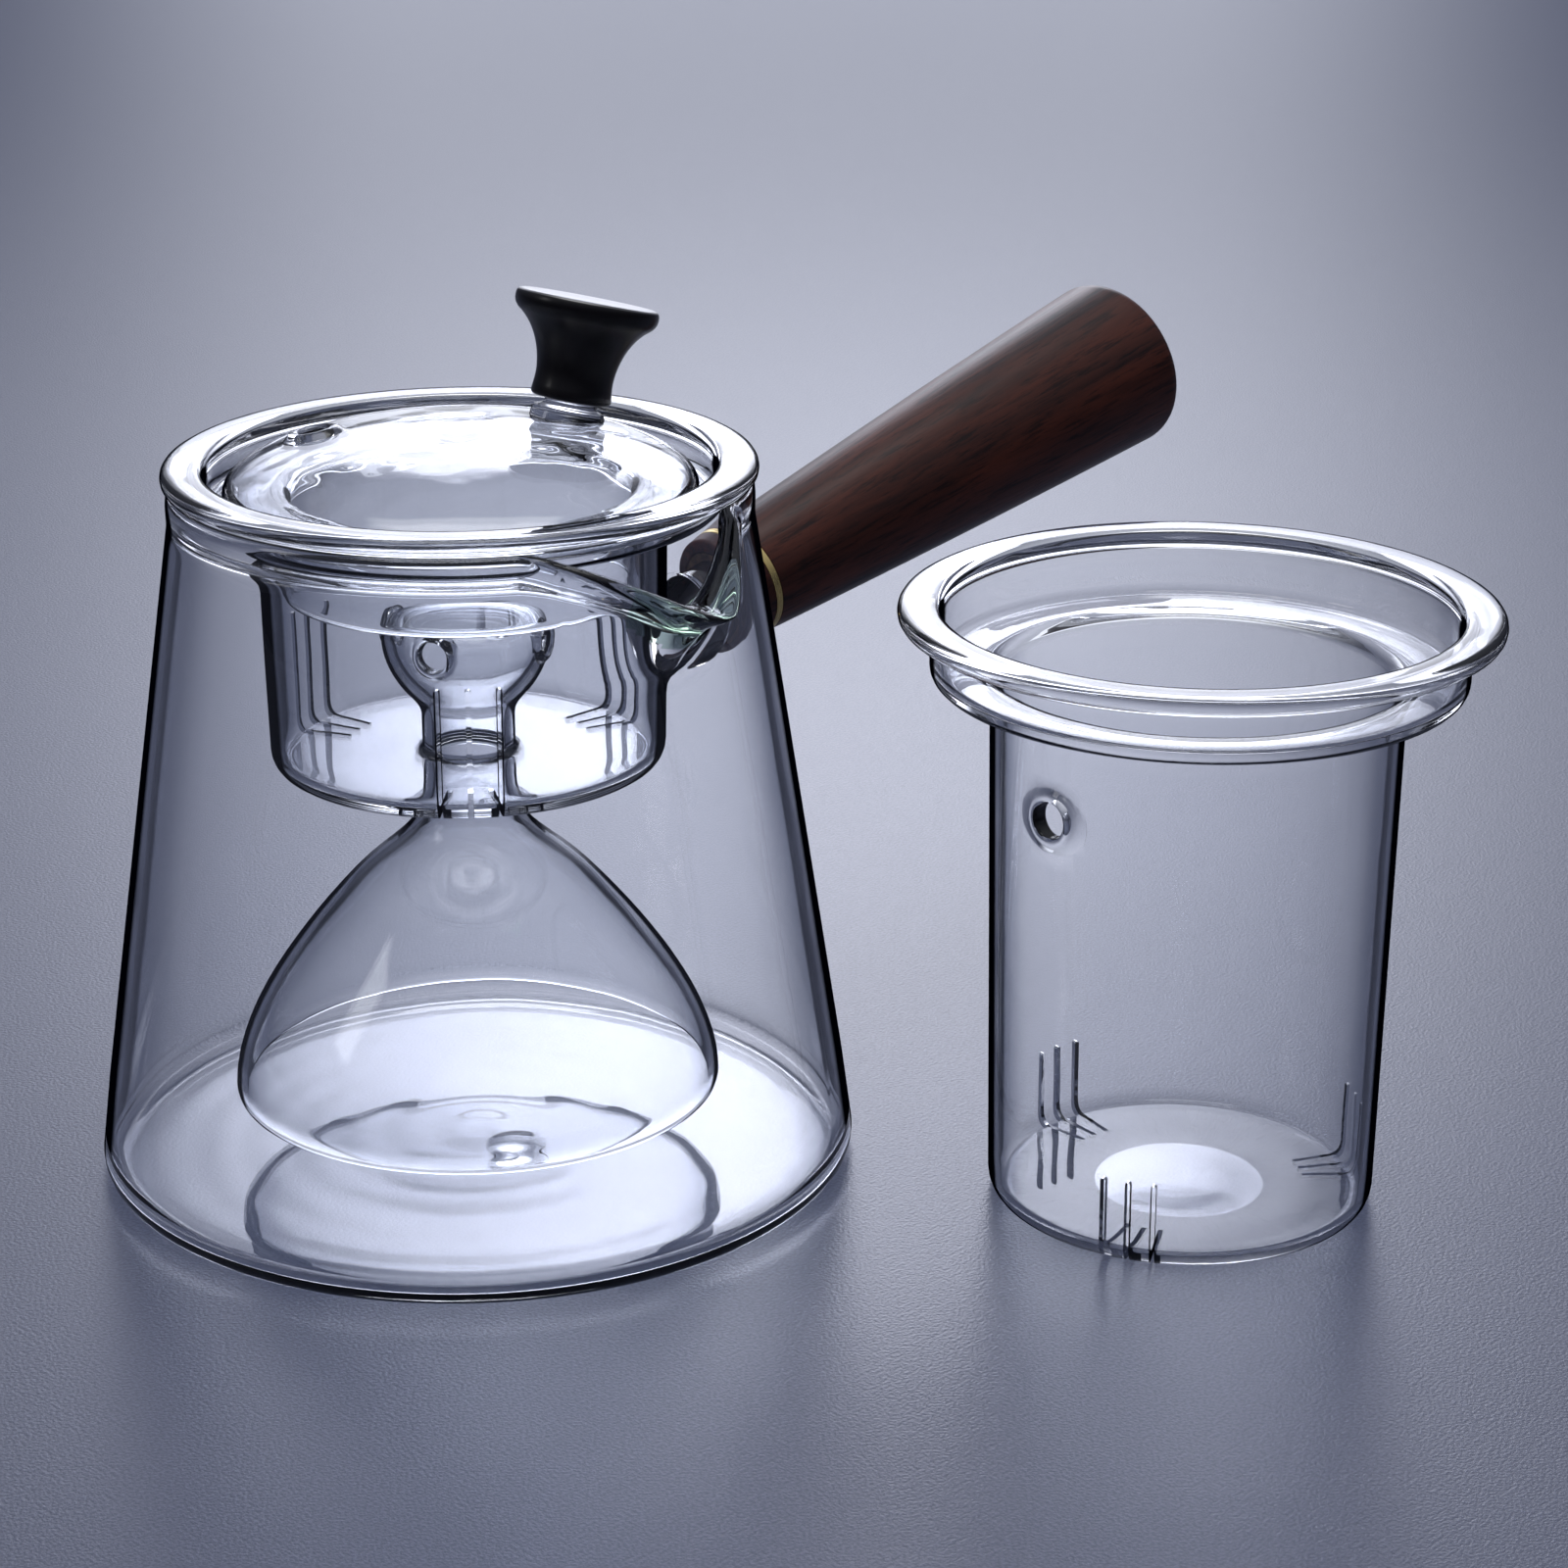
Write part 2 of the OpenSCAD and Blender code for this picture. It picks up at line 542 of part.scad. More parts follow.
module tall_tube() {
    r_here = tube_r - tube_taper * (tall_shoulder_z - tall_vent_z);
    color([0.80, 0.88, 0.88, 0.35]) translate([tall_x, tall_y, 0]) difference() {
        union() {
            tube(0, tall_shoulder_z, tall_slot_h, tall_slot_a, tall_slot_dir, 0);
            difference() {
                translate([0, 0, tall_vent_z]) rotate([0, 0, tall_vent_dir]) rotate([0, 90, 0])
                    translate([0, 0, r_here - tube_wall - 0.4])
                        cylinder(r1 = tall_vent_flare, r2 = tall_vent_flare - 1.6, h = tube_wall + 1.2);
                translate([0, 0, tube_floor_t]) cylinder(r1 = tube_r - tube_wall - tube_taper * (tall_shoulder_z - tube_floor_t),
                    r2 = tube_r - tube_wall, h = tall_shoulder_z - tube_floor_t);
            }
        }
        translate([0, 0, tall_vent_z]) rotate([0, 0, tall_vent_dir]) rotate([0, 90, 0])
            translate([0, 0, tube_r * 0.6]) cylinder(r = tall_vent_r, h = tube_r);
    }
}

pot_body();
spout();
handle_stub();
handle_sleeve();
handle_collar();
brass_ring();
handle_grip();
infuser_cup();
infuser_basket();
steam_bulb();
steam_bell();
lid_dome();
lid_skirt();
knob_stem();
knob_cork();
knob();
tall_cup();
tall_tube();
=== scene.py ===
from math import atan, atan2, cos, hypot, pi, radians, sin, sqrt

import bmesh
import bpy
from mathutils import Matrix, Vector
from mathutils.geometry import interpolate_bezier


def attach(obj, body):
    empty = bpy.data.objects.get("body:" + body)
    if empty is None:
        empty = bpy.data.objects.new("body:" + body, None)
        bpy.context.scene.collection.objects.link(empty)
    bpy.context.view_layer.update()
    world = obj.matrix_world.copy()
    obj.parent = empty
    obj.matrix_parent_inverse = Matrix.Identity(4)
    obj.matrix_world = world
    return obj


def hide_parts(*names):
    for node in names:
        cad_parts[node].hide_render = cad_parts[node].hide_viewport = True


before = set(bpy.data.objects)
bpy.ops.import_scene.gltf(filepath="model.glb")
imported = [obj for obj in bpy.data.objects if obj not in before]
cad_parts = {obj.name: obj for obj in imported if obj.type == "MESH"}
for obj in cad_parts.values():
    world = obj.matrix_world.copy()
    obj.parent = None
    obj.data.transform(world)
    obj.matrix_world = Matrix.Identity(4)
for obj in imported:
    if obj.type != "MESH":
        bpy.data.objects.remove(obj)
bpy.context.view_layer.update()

scene = bpy.context.scene
mm = 0.001

# place in metres, tilts in degrees, lens and sensor in millimetres
cameraView = {"place": (-0.3861, -0.4601, 0.2830), "down": 20.03, "turn": -44.99, "lens": 87.8,
              "sensor": 36.0}

cameraData = bpy.data.cameras.new("productCamera")
cameraData.lens = cameraView["lens"]
cameraData.sensor_width = cameraView["sensor"]
camera = bpy.data.objects.new("productCamera", cameraData)
scene.collection.objects.link(camera)
camera.location = cameraView["place"]
camera.rotation_euler = (radians(90 - cameraView["down"]), 0, radians(cameraView["turn"]))
scene.camera = camera
scene.view_settings.view_transform = "Standard"
print("camera placed")


def shade(hexColour):
    # sRGB hex to the linear colour that Blender's sockets take
    parts = [int(hexColour[i:i + 2], 16) / 255 for i in (1, 3, 5)]
    return tuple(c / 12.92 if c <= 0.04045 else ((c + 0.055) / 1.055) ** 2.4 for c in parts) + (1.0,)


def addNode(tree, kind, settings=None, **sockets):
    # settings are the node's own fields, sockets are values or (node, output) links by input name,
    # where _0 stands for the first input, _1 for the second and so on
    node = tree.nodes.new(kind)
    for field, value in (settings or {}).items():
        setattr(node, field, value)
    for name, value in sockets.items():
        key = int(name[1:]) if name[0] == "_" else name.replace("_", " ")
        if isinstance(value, tuple) and len(value) == 2 and hasattr(value[0], "outputs"):
            tree.links.new(value[0].outputs[value[1]], node.inputs[key])
        else:
            node.inputs[key].default_value = value
    return node


def newMaterial(name):
    material = bpy.data.materials.new(name)
    material.use_nodes = True
    material.node_tree.nodes.clear()
    return material, material.node_tree


def addRamp(tree, factor, low, high, first=0.0, last=1.0):
    ramp = addNode(tree, "ShaderNodeValToRGB", None, Fac=factor)
    start, end = ramp.color_ramp.elements
    start.position, end.position = first, last
    start.color, end.color = shade(low), shade(high)
    return ramp


# Clear borosilicate, blown and flame-worked: colourless face on, with slow ripples and faint turning lines.
# Where the eye runs along the wall it is painted grey and then near black. This is painted shade, standing
# in for the dark surroundings seen in and through the wall. Lamps pass through it, as thin glass hardly
# shades.
def clearGlass(name, look):
    material, tree = newMaterial(name)
    place = addNode(tree, "ShaderNodeTexCoord")
    ripple = addNode(tree, "ShaderNodeTexNoise", None, Vector=(place, "Object"),
                     Scale=1 / (look["rippleMm"] * mm), Detail=1.0, Roughness=0.4)
    wave = addNode(tree, "ShaderNodeBump", None, Height=(ripple, "Fac"), Strength=look["ripple"],
                   Distance=0.0006)
    lathe = addNode(tree, "ShaderNodeMapping", None, Vector=(place, "Object"),
                    Location=tuple(-c * mm for c in look["centre"]))
    # the wave node takes 20 radians to a unit, so a line repeats after 2 pi times lineMm
    lines = addNode(tree, "ShaderNodeTexWave", {"wave_type": "RINGS", "rings_direction": "Z"},
                    Vector=(lathe, "Vector"), Scale=1 / (look["lineMm"] * mm) / 20, Distortion=1.4,
                    Detail=2.0, Detail_Scale=0.4)
    bump = addNode(tree, "ShaderNodeBump", None, Height=(lines, "Fac"), Strength=look["lines"],
                   Distance=0.0002, Normal=(wave, "Normal"))
    # the painted dark edge, painted shade, begins at paintedEdgeAt, and fades on faces that lie flatter
    # than flat
    edge = addNode(tree, "ShaderNodeLayerWeight", None, Blend=0.5)
    depth = addNode(tree, "ShaderNodeMapRange", {"interpolation_type": "SMOOTHSTEP"},
                    Value=(edge, "Facing"), From_Min=look["paintedEdgeAt"] - 0.03, From_Max=look["paintedEdgeAt"] + 0.02)
    form = addNode(tree, "ShaderNodeNewGeometry")
    lie = addNode(tree, "ShaderNodeSeparateXYZ", None, Vector=(form, "Normal"))
    level = addNode(tree, "ShaderNodeMath", {"operation": "ABSOLUTE"}, _0=(lie, "Z"))
    upright = addNode(tree, "ShaderNodeMapRange", {"interpolation_type": "SMOOTHSTEP"},
                      Value=(level, "Value"), From_Min=look["flat"], From_Max=look["flat"] + 0.25,
                      To_Min=1.0, To_Max=0.0)
    dark = addNode(tree, "ShaderNodeMath", {"operation": "MULTIPLY"}, _0=(depth, "Result"),
                   _1=(upright, "Result"))
    # painted shade: the glass colour greys towards the band colour as the wall turns away from the eye
    band = addRamp(tree, (edge, "Facing"), look["colour"], look["band"], 0.5, look["paintedEdgeAt"] - 0.01)
    glass = addNode(tree, "ShaderNodeBsdfPrincipled", None, Base_Color=(band, "Color"), Roughness=0.0,
                    IOR=1.474, Transmission_Weight=1.0, Normal=(bump, "Normal"))
    # painted shade: a near-black matt shader, mixed in where the wall runs along the eye
    rim = addNode(tree, "ShaderNodeBsdfPrincipled", None, Base_Color=shade(look["edge"]), Roughness=0.5,
                  Specular_IOR_Level=0.0)
    wall = addNode(tree, "ShaderNodeMixShader", None, _0=(dark, "Value"), _1=(glass, "BSDF"),
                   _2=(rim, "BSDF"))
    through = addNode(tree, "ShaderNodeBsdfTransparent", None, Color=shade(look["shadow"]))
    path = addNode(tree, "ShaderNodeLightPath")
    mix = addNode(tree, "ShaderNodeMixShader", None, _0=(path, "Is Shadow Ray"), _1=(wall, "Shader"),
                  _2=(through, "BSDF"))
    addNode(tree, "ShaderNodeOutputMaterial", None, Surface=(mix, "Shader"))
    return material


# Turned hardwood, stained dark and lacquered: open pores drawn out along the grain, soft satin gloss.
# The pores are drawn about three times their real width, so that they show.
def turnedWood(name, look):
    material, tree = newMaterial(name)
    place = addNode(tree, "ShaderNodeTexCoord")
    lay = addNode(tree, "ShaderNodeMapping", {"vector_type": "TEXTURE"}, Vector=(place, "Object"),
                  Rotation=look["turn"], Scale=(1, 1, look["drawn"]))
    rings = addNode(tree, "ShaderNodeTexNoise", None, Vector=(lay, "Vector"),
                    Scale=1 / (look["ringMm"] * mm), Detail=3.0, Roughness=0.55, Distortion=0.6)
    pores = addNode(tree, "ShaderNodeTexNoise", None, Vector=(lay, "Vector"),
                    Scale=1 / (look["poreMm"] * mm), Detail=4.0, Roughness=0.7)
    tint = addRamp(tree, (rings, "Fac"), look["dark"], look["light"], 0.32, 0.70)
    pit = addRamp(tree, (pores, "Fac"), look["pore"], "#ffffff", 0.36, 0.50)
    stain = addNode(tree, "ShaderNodeMix", {"data_type": "RGBA", "blend_type": "MULTIPLY"},
                    Factor=look["poreDepth"], _6=(tint, "Color"), _7=(pit, "Color"))
    gloss = addNode(tree, "ShaderNodeMapRange", None, Value=(pores, "Fac"),
                    To_Min=look["rough"] + 0.10, To_Max=look["rough"] - 0.05)
    bump = addNode(tree, "ShaderNodeBump", None, Height=(pores, "Fac"), Strength=look["bump"],
                   Distance=0.0002)
    wood = addNode(tree, "ShaderNodeBsdfPrincipled", None, Base_Color=(stain, 2),
                   Roughness=(gloss, "Result"), IOR=look["ior"], Coat_Weight=look["coat"],
                   Coat_Roughness=look["coatRough"], Normal=(bump, "Normal"))
    addNode(tree, "ShaderNodeOutputMaterial", None, Surface=(wood, "BSDF"))
    return material


# Turned and polished brass: warm yellow metal with fine lathe lines round the ring.
def polishedBrass(name, look):
    material, tree = newMaterial(name)
    place = addNode(tree, "ShaderNodeTexCoord")
    lay = addNode(tree, "ShaderNodeMapping", {"vector_type": "TEXTURE"}, Vector=(place, "Object"),
                  Rotation=look["turn"], Scale=(40, 40, 1))
    lines = addNode(tree, "ShaderNodeTexNoise", None, Vector=(lay, "Vector"),
                    Scale=1 / (look["lineMm"] * mm), Detail=2.0)
    tarnish = addNode(tree, "ShaderNodeTexNoise", None, Vector=(place, "Object"),
                      Scale=260.0, Detail=3.0)  # patches about 4 mm wide
    tone = addRamp(tree, (tarnish, "Fac"), look["dull"], look["bright"])
    gloss = addNode(tree, "ShaderNodeMapRange", None, Value=(lines, "Fac"), To_Min=0.16, To_Max=0.34)
    bump = addNode(tree, "ShaderNodeBump", None, Height=(lines, "Fac"), Strength=0.25, Distance=0.00005)
    metal = addNode(tree, "ShaderNodeBsdfPrincipled", None, Base_Color=(tone, "Color"), Metallic=1.0,
                    Roughness=(gloss, "Result"), Normal=(bump, "Normal"))
    addNode(tree, "ShaderNodeOutputMaterial", None, Surface=(metal, "BSDF"))
    return material


# Agglomerated cork: light brown granules with darker gaps, quite matt.
def pressedCork(name, look):
    material, tree = newMaterial(name)
    place = addNode(tree, "ShaderNodeTexCoord")
    grains = addNode(tree, "ShaderNodeTexVoronoi", None, Vector=(place, "Object"),
                     Scale=1 / (look["grainMm"] * mm))
    tone = addRamp(tree, (grains, "Distance"), look["light"], look["dark"])
    bump = addNode(tree, "ShaderNodeBump", None, Height=(grains, "Distance"), Strength=0.4,
                   Distance=0.0002)
    cork = addNode(tree, "ShaderNodeBsdfPrincipled", None, Base_Color=(tone, "Color"), Roughness=0.85,
                   Normal=(bump, "Normal"))
    addNode(tree, "ShaderNodeOutputMaterial", None, Surface=(cork, "BSDF"))
    return material


handleRise = 12.4  # degrees
handleTurn = (0, radians(90 - handleRise), 0)  # lays a pattern's Z along the handle
# edge is the colour of the painted dark edge, and band is the colour of the painted grey band before it;
# both are painted shade
plainGlass = {"colour": "#fcfdff", "edge": "#03040c", "shadow": "#e9ecf2", "flat": 0.65, "rippleMm": 18,
              "ripple": 0.25, "lineMm": 2.4, "lines": 0.10, "centre": (0, 0, 0)}
# calm walls with a narrow painted black edge, painted shade
blownGlass = clearGlass("blown clear borosilicate", {
    **plainGlass, "paintedEdgeAt": 0.81, "band": "#a3a8b8", "rippleMm": 26, "ripple": 0.22, "lineMm": 3.0})
# uneven enough to break its reflections up, with a painted dark edge as painted shade
lidBlown = clearGlass("blown clear borosilicate, slightly wavy", {
    **plainGlass, "paintedEdgeAt": 0.80, "band": "#dfe2ea", "rippleMm": 12, "ripple": 0.45, "lineMm": 2.0,
    "lines": 0.18})
# thicker painted black edges, painted shade, for the small tight forms
flameGlass = clearGlass("flame-worked clear borosilicate", {
    **plainGlass, "paintedEdgeAt": 0.70, "band": "#b9bdca"})
# the bell, with a thin painted pale band and a painted dark edge, both painted shade
bellGlass = clearGlass("thin blown borosilicate", {**plainGlass, "paintedEdgeAt": 0.80, "band": "#cfd3df"})
# nearly no painted dark edge, and fine rings round the middle
floorGlass = clearGlass("borosilicate, flattened on the wheel", {
    **plainGlass, "paintedEdgeAt": 0.93, "band": "#c9cdd9", "rippleMm": 20, "ripple": 0.12, "lineMm": 1.3,
    "lines": 0.1})
# bright round rims with thin painted dark lines above and below, painted shade
rimGlass = clearGlass("borosilicate, fire-polished rims", {
    **plainGlass, "flat": 0.9, "paintedEdgeAt": 0.82, "band": "#dfe2ea", "rippleMm": 14, "ripple": 0.3})
# straight wall with turning lines round the spare infuser's own axis, and a painted dark edge as painted
# shade
tubeGlass = clearGlass("drawn clear borosilicate tube", {
    **plainGlass, "paintedEdgeAt": 0.77, "band": "#a3a8b8", "lines": 0.3, "centre": (70.9, -96.6, 0)})
# a green tint, where the spout's lip is thickest, with a painted dark green edge as painted shade
thickGlass = clearGlass("drawn borosilicate, green where thick", {
    **plainGlass, "colour": "#a9c9b6", "edge": "#06120c", "shadow": "#dfe9e4", "paintedEdgeAt": 0.88,
    "band": "#93b5a1", "rippleMm": 9, "ripple": 0.3, "lineMm": 3.0, "lines": 0.0})
# reddish brown with a soft light along the top
gripWood = turnedWood("dark stained turned wood, satin", {
    "dark": "#220c07", "light": "#572819", "pore": "#5a3a2e", "poreDepth": 0.8, "turn": handleTurn,
    "drawn": 14, "ringMm": 5.0, "poreMm": 0.9, "rough": 0.4, "ior": 1.3, "bump": 0.35, "coat": 0.15,
    "coatRough": 0.22})
# almost black, hardly any grain
knobWood = turnedWood("black stained turned wood, semi-gloss", {
    "dark": "#050304", "light": "#0c0608", "pore": "#8a8080", "poreDepth": 0.5,
    "turn": (0, radians(15.5), 0), "drawn": 10, "ringMm": 3.5, "poreMm": 0.7, "rough": 0.3, "ior": 1.3,
    "bump": 0.15, "coat": 0.25, "coatRough": 0.2})
# the knob's top, waxed until it takes a broad white shine
knobTop = turnedWood("black stained wood, waxed end grain", {
    "dark": "#0c0809", "light": "#151011", "pore": "#8a8080", "poreDepth": 0.2, "turn": (0, 0, 0),
    "drawn": 1, "ringMm": 3.5, "poreMm": 0.7, "rough": 0.3, "ior": 1.8, "bump": 0.1, "coat": 1.0,
    "coatRough": 0.42})
# a thin warm glint between collar and grip
ringBrass = polishedBrass("turned polished brass", {
    "dull": "#d2b468", "bright": "#f2dc9c", "turn": handleTurn, "lineMm": 0.25})
# dull brown, only seen through the wood's open ends; drawn darker than cork is, as painted shade for the
# shade inside the glass stub
cork = pressedCork("pressed cork, darkened as painted shade", {"light": "#6e5036", "dark": "#3c2a1c", "grainMm": 1.1})
print("materials mixed")


def outline(start, *strokes):
    # a stroke is a point to go straight to, or two handles and an end to curve to; all in millimetres
    points = [Vector((start[0], 0, start[1]))]
    for stroke in strokes:
        if len(stroke) == 2:
            points.append(Vector((stroke[0], 0, stroke[1])))
        elif len(stroke) == 3:  # straight in so many steps
            end = Vector((stroke[0], 0, stroke[1]))
            points += [points[-1].lerp(end, i / stroke[2]) for i in range(1, stroke[2] + 1)]
        else:
            a, b, end, count = stroke
            a, b, end = (Vector((p[0], 0, p[1])) for p in (a, b, end))
            points += interpolate_bezier(points[-1], a, b, end, count)[1:]
    return [p * mm for p in points]


def turned(points, steps, closed=False, start=0.0, angle=2 * pi):
    # the outline is drawn as edges and spun round Z
    bm = bmesh.new()
    verts = [bm.verts.new(p) for p in points]
    edges = [bm.edges.new(pair) for pair in zip(verts, verts[1:])]
    if closed:
        edges.append(bm.edges.new((verts[-1], verts[0])))
    full = abs(angle - 2 * pi) < 1e-6
    if start:
        bmesh.ops.rotate(bm, cent=(0, 0, 0), matrix=Matrix.Rotation(start, 3, "Z"), verts=bm.verts)
    bmesh.ops.spin(bm, geom=bm.verts[:] + bm.edges[:], cent=(0, 0, 0), axis=(0, 0, 1), dvec=(0, 0, 0),
                   angle=angle, steps=steps, use_merge=full, use_normal_flip=False, use_duplicate=False)
    return bm


def joinSeams(bm):
    gap = 0.01 * mm
    bmesh.ops.remove_doubles(bm, verts=bm.verts, dist=gap)
    bmesh.ops.dissolve_degenerate(bm, edges=bm.edges, dist=gap)
    bmesh.ops.recalc_face_normals(bm, faces=bm.faces)
    return bm


def smooth(mesh):
    mesh.polygons.foreach_set("use_smooth", [True] * len(mesh.polygons))
    mesh.set_sharp_from_angle(angle=radians(40))


def asPiece(name, bm, material, body, replaced):
    piece = toolFrom(bm, name)
    piece.data.materials.append(material)
    smooth(piece.data)
    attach(piece, body)
    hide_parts(*replaced)
    return piece


def refaced(piece, material, test):
    # gives the faces that pass the test, on their middle in millimetres, another finish of the same glass
    piece.data.materials.append(material)
    slot = len(piece.data.materials) - 1
    for face in piece.data.polygons:
        if test(*(c / mm for c in face.center)):
            face.material_index = slot


def inOrder(bm):
    # merging and bevelling leave a chance order, so all is sorted by place to make every run the same
    def corners(part):
        return sorted(v.index for v in part.verts)

    for parts, key in ((bm.verts, lambda v: v.co[:]), (bm.edges, corners), (bm.faces, corners)):
        for i, part in enumerate(sorted(parts, key=key)):
            part.index = i
        parts.sort()
        parts.index_update()


def toolFrom(bm, name="tool"):
    # under its own name a tool is a helper for a cut or a join, deleted once it has been used
    inOrder(bm)
    mesh = bpy.data.meshes.new(name)
    bm.to_mesh(mesh)
    bm.free()
    tool = bpy.data.objects.new(name, mesh)
    scene.collection.objects.link(tool)
    return tool


def worked(piece, tools, how):
    # joins or cuts the piece with each tool and keeps the result as its mesh
    for tool in tools:
        step = piece.modifiers.new(how.lower(), "BOOLEAN")
        step.operation = how
        step.solver = "EXACT"
        step.object = tool
    bpy.context.view_layer.update()
    result = bpy.data.meshes.new_from_object(piece.evaluated_get(bpy.context.evaluated_depsgraph_get()))
    piece.modifiers.clear()
    old, name = piece.data, piece.data.name
    piece.data = result
    bpy.data.meshes.remove(old)
    result.name = name
    for tool in tools:
        bpy.data.objects.remove(tool)
    smooth(result)


def movedTo(bm, matrix):
    bmesh.ops.transform(bm, matrix=matrix, verts=bm.verts)
    return bm


def rod(r, length, sides):
    # a plain rod from the origin up Z, in millimetres
    bm = bmesh.new()
    bmesh.ops.create_cone(bm, cap_ends=True, segments=sides, radius1=r * mm, radius2=r * mm,
                          depth=length * mm)
    bmesh.ops.translate(bm, verts=bm.verts, vec=(0, 0, length * mm / 2))
    return bm


# the handle's axis meets the pot's own 72.9 mm up
handleAxis = Matrix.Translation((0, 0, 72.9 * mm)) @ Matrix.Rotation(radians(90 - handleRise), 4, "Y")

# one blown cone, with its spout drawn out over spoutHalf degrees to each side, from spoutFoot to the rim
pot = {"baseR": 64.6, "rimR": 46.6, "height": 118.0, "wall": 2.0, "spoutReach": 62.4, "spoutDrop": 9.9,
       "spoutHalf": 30.0, "spoutFoot": 95.1, "blunt": 3.2, "thick": 0.45, "fine": 96, "steps": 176}
wallSlope = (pot["baseR"] - pot["rimR"]) / pot["height"]


def potWallR(z):
    return pot["baseR"] - wallSlope * z


def lipShape(a):
    # how far out the lip runs at an angle from the spout's middle, and the share of the full reach
    root, reach, blunt = pot["rimR"] + 0.35, pot["spoutReach"], radians(pot["blunt"])
    edge = sqrt(radians(pot["spoutHalf"]) ** 2 + blunt ** 2)
    lean = (reach * cos(blunt) - root * cos(edge)) / (root * sin(edge) - reach * sin(blunt))
    s = sqrt(a * a + blunt * blunt)
    out = reach * (cos(blunt) + lean * sin(blunt)) / (cos(s) + lean * sin(s))
    return out, (out - root) / (reach - root)


def drawSpout(bm):
    # pulls the soft rim out and down between the two roots, thicker towards the lip
    half, foot, top = radians(pot["spoutHalf"]), pot["spoutFoot"], pot["height"]
    for v in bm.verts:
        r, z = hypot(v.co.x, v.co.y) / mm, v.co.z / mm
        a = atan2(v.co.x, -v.co.y)
        if z <= foot or abs(a) >= half or r < 20:  # the middle of the floor has no angle of its own
            continue
        out, share = lipShape(a)
        # the wall bends out late, by the power 1.6 of the height, and its slope by the power 0.6
        t = (z - foot) / (top - foot)
        newZ = foot + t * (top - pot["spoutDrop"] * share - foot)
        depth = potWallR(z) - r
        slant = (out - pot["rimR"]) / (top - pot["spoutDrop"] * share - foot) * 1.6 * t ** 0.6
        thick = sqrt(1 + slant * slant) * (1 + share * (pot["thick"] * t * t + 0.1 * t ** 8))
        push = (out - pot["rimR"] - 0.7) * t ** 1.6 * min(1, share * 6)
        newR = potWallR(z) + max(push, 0) - depth * (1 + (thick - 1) * min(1, share * 3))
        v.co.x, v.co.y, v.co.z = newR * sin(a) * mm, -newR * cos(a) * mm, newZ * mm


def makePot():
    wall = pot["wall"]
    profile = outline(
        (0, 1.1), ((6, 1.0), (20, 0.3), (34, 0.1), 6), (59.6, 0, 6),
        ((62.1, 0), (63.9, 1.5), (63.85, 3.4), 9),
        (potWallR(16), 16, 4), (potWallR(60), 60, 10), (potWallR(91), 91, 8),
        (potWallR(111.4), 111.4, 16), ((47.5, 112.6), (47.65, 113.6), (47.62, 115.0), 5),
        ((47.6, 116.9), (46.9, 118.0), (45.75, 118.0), 7),
        ((44.7, 118.0), (44.0, 117.0), (44.0, 115.6), 7),
        ((44.0, 114.3), (44.1, 113.4), (44.7, 112.8), 6),
        ((45.1, 112.4), (potWallR(111.2) - wall, 111.9), (potWallR(110.6) - wall, 110.6), 7),
        (potWallR(91) - wall, 91, 12), (potWallR(60) - wall, 60, 8), (potWallR(16) - wall, 16, 10),
        (potWallR(6.6) - wall, 6.6, 3), ((62.0, 3.8), (60.9, 1.6), (58.4, 1.5), 7),
        (40, 1.5, 4), ((26, 1.6), (12, 2.6), (0, 2.6), 8))
    half = radians(pot["spoutHalf"])
    # the spout's sector is spun with fine steps, the rest coarser; both meet at the spout's roots
    bm = turned(profile, pot["fine"], start=-pi / 2 - half, angle=2 * half)
    rest = turned(profile, pot["steps"], start=-pi / 2 + half, angle=2 * pi - 2 * half)
    spare = bpy.data.meshes.new("spare")
    rest.to_mesh(spare)
    rest.free()
    bm.from_mesh(spare)
    bpy.data.meshes.remove(spare)
    joinSeams(bm)
    drawSpout(bm)
    bmesh.ops.recalc_face_normals(bm, faces=bm.faces)
    glass = asPiece("potGlass", bm, blownGlass, "pot", ("pot_body", "spout", "handle_stub"))
    refaced(glass, rimGlass, lambda x, y, z: z > 112.5)
    refaced(glass, floorGlass, lambda x, y, z: z < 6.0)
    refaced(glass, thickGlass, lambda x, y, z: abs(atan2(x, -y)) < half and z > pot["spoutFoot"]
            and hypot(x, y) > potWallR(z) + 3 and lipShape(atan2(x, -y))[1] > 0.5)
    # the handle's stub is fused on, with a flared root
    stub = turned(outline((0, 50.6), (7.4, 50.9), ((7.0, 52.6), (6.0, 53.0), (6.0, 55.0), 8),
                          (6.0, 90.6, 10), ((6.0, 91.7), (5.6, 92.1), (4.9, 92.1), 4), (0, 92.1)), 64)
    joinSeams(stub)
    # the mark left by the blowing iron, a little off the middle of the floor
    mark = turned(outline((0, 1.8), (5.6, 1.8), (5.6, 2.4),
                          ((3.6, 2.5), (3.0, 3.1), (0, 3.1), 12)), 48)
    joinSeams(mark)
    bmesh.ops.translate(mark, verts=mark.verts, vec=(-0.5 * mm, -9.1 * mm, 0))
    worked(glass, [toolFrom(movedTo(stub, handleAxis)), toolFrom(mark)], "UNION")


makePot()
print("pot blown and spout drawn")

# three groups of three slots, each from outside the wall's foot in across the floor's edge
slots = {"wide": 0.85, "count": 3, "groups": 3, "reach": 8.0, "inset": 3.2, "out": 3, "round": 0.45}


